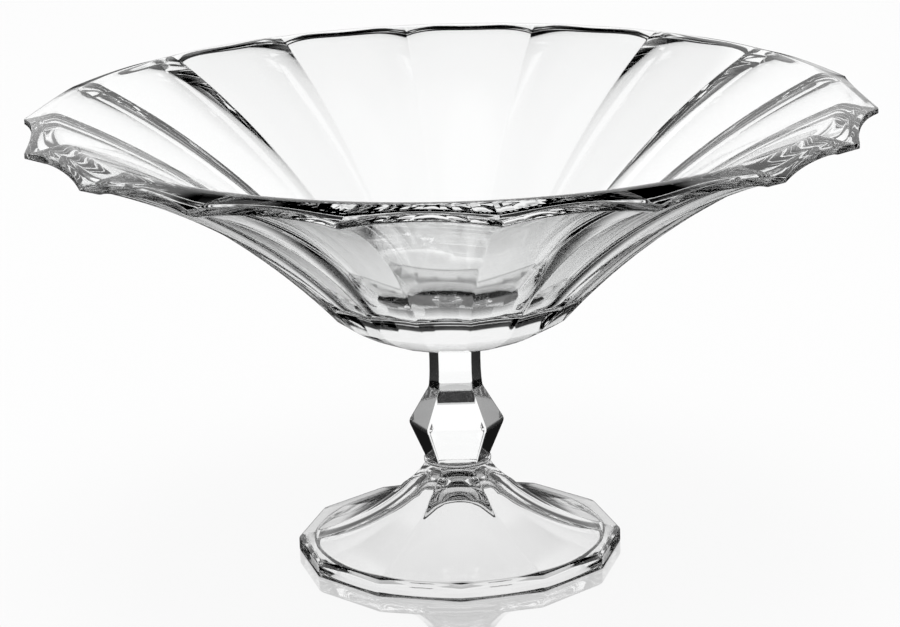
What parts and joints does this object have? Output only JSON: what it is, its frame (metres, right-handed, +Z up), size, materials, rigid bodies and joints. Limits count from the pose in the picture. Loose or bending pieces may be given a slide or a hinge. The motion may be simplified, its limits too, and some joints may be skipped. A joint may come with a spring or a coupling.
{
  "type": "footed trifle bowl",
  "caption": "Wide flared glass serving bowl with fluted ridged sides on a faceted stem with a knop and a many-sided hollow foot.",
  "frame": {"origin": "centre of the foot's underside, in the plane that it stands on", "axes": "+Z up along the axis of the bowl, stem and foot; the picture is taken from the -Y side, with +X to its right"},
  "size_m": [0.3094, 0.3082, 0.1701],
  "materials": {
    "bowl_glass": "clear, fire polished",
    "stem_glass": "clear, fire polished",
    "foot_glass": "clear, fire polished",
    "bond_film": "clear bond film"
  },
  "bodies": {
    "root": {"bowl": "bowl_glass", "bowl_bond": "bond_film", "stem": "stem_glass", "foot_bond": "bond_film", "foot": "foot_glass"}
  },
  "joints": []
}
